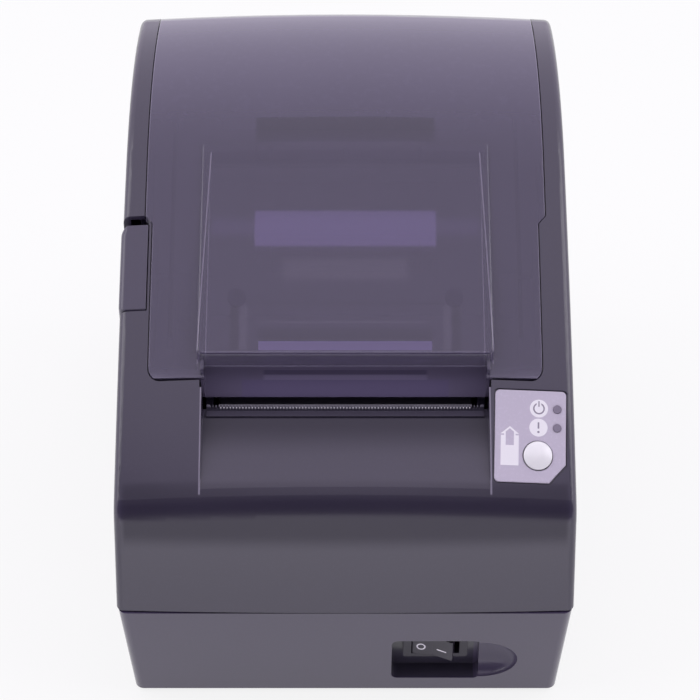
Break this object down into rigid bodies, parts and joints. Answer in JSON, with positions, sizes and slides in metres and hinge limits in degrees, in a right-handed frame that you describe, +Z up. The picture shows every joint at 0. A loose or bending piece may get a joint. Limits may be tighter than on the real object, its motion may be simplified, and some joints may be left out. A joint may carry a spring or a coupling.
{
  "type": "fiscal receipt printer",
  "caption": "Desktop thermal receipt printer with a smoky hinged cover, side lever, sloping paper exit with tear bar and a power switch at the front.",
  "frame": {"origin": "on the ground under the middle of the base", "axes": "+X to the right seen from the front, +Y to the back, +Z up"},
  "size_m": [0.145, 0.195, 0.1487],
  "materials": {
    "housing_plastic": "fine textured charcoal with a violet cast",
    "cover_plastic": "smoky see-through plastic with a soft gloss",
    "dark_plastic": "satin black",
    "panel_film": "pale satin film",
    "button_white": "white, slightly glossy",
    "lamp_grey": "unlit grey lens",
    "sheet_steel": "bright zinc",
    "tear_steel": "satin steel",
    "screw_steel": "plated",
    "shaft_steel": "ground",
    "roller_rubber": "smooth black",
    "foot_rubber": "matt black",
    "gear_white": "natural acetal",
    "bearing_black": "plain bearing plastic",
    "motor_case": "grey case",
    "head_ceramic": "glazed ceramic",
    "sink_alloy": "milled",
    "spring_steel": "spring strip",
    "board_green": "solder mask",
    "module_black": "potted",
    "socket_black": "moulded",
    "socket_metal": "plated shell",
    "rocker_black": "satin"
  },
  "bodies": {
    "case": {"base_screws": "screw_steel", "base_tray": "housing_plastic", "board_supports": "housing_plastic", "button_board": "board_green", "control_plate": "panel_film", "cover_sensor": "socket_black", "drawer_port": "socket_black", "drive_motor": "motor_case", "frame_screws": "screw_steel", "head_pivot": "shaft_steel", "head_springs": "spring_steel", "hinge_pins": "shaft_steel", "lamp_lenses": "lamp_grey", "lever_pin": "shaft_steel", "lever_spring": "spring_steel", "main_board": "board_green", "mechanism_frame": "sheet_steel", "memory_module": "module_black", "paper_sensor": "socket_black", "paper_trough": "dark_plastic", "port_plate": "sheet_steel", "power_jack": "socket_black", "power_switch": "socket_black", "rubber_feet": "foot_rubber", "serial_port": "socket_metal", "tear_bar": "tear_steel", "upper_housing": "housing_plastic", "usb_port": "socket_metal"},
    "cover": {"cover": "cover_plastic", "cover_guide": "dark_plastic", "cover_screws": "screw_steel", "platen_bushings": "bearing_black"},
    "platen": {"platen_roller": "roller_rubber", "platen_shaft": "shaft_steel", "platen_gear": "gear_white"},
    "idler": {"idler_gear": "gear_white"},
    "pinion": {"motor_pinion": "gear_white"},
    "head": {"print_head": "head_ceramic", "heat_sink": "sink_alloy"},
    "lever": {"open_lever": "housing_plastic"},
    "button": {"feed_button": "button_white"},
    "rocker": {"power_rocker": "rocker_black"}
  },
  "joints": [
    {"name": "cover_hinge", "type": "hinge", "parent": "case", "child": "cover", "pos_m": [0, 0.0825, 0.1301], "axis": [-1, 0, 0], "range_deg": [0, 90]},
    {"name": "platen_spin", "type": "hinge", "parent": "cover", "child": "platen", "pos_m": [0, -0.0399, 0.0851], "axis": [1, 0, 0], "continuous": true},
    {"name": "idler_spin", "type": "hinge", "parent": "case", "child": "idler", "pos_m": [0.05, -0.034, 0.0705], "axis": [1, 0, 0], "continuous": true},
    {"name": "pinion_spin", "type": "hinge", "parent": "case", "child": "pinion", "pos_m": [0.05, -0.02092, 0.06412], "axis": [1, 0, 0], "continuous": true},
    {"name": "head_rock", "type": "hinge", "parent": "case", "child": "head", "pos_m": [0, -0.04239, 0.06981], "axis": [1, 0, 0], "range_deg": [0, 2], "stiffness_Nm_per_rad": 2, "springref_deg": -2.86},
    {"name": "lever_turn", "type": "hinge", "parent": "case", "child": "lever", "pos_m": [-0.057, -0.0331, 0.0745], "axis": [-1, 0, 0], "range_deg": [0, 3.4], "stiffness_Nm_per_rad": 0.4, "springref_deg": -8.59},
    {"name": "button_press", "type": "slide", "parent": "case", "child": "button", "axis": [-0.0462, 0.5637, -0.8247], "range_m": [0, 0.0009], "stiffness_N_per_m": 400, "springref_m": -0.001},
    {"name": "rocker_tilt", "type": "hinge", "parent": "case", "child": "rocker", "pos_m": [0.0293, -0.0892, 0.0212], "axis": [0, 0, 1], "range_deg": [0, 30]}
  ],
  "couplings": [
    {"joint": "idler_spin", "follows": "platen_spin", "ratio": -0.44444},
    {"joint": "pinion_spin", "follows": "platen_spin", "ratio": 1.3333}
  ]
}
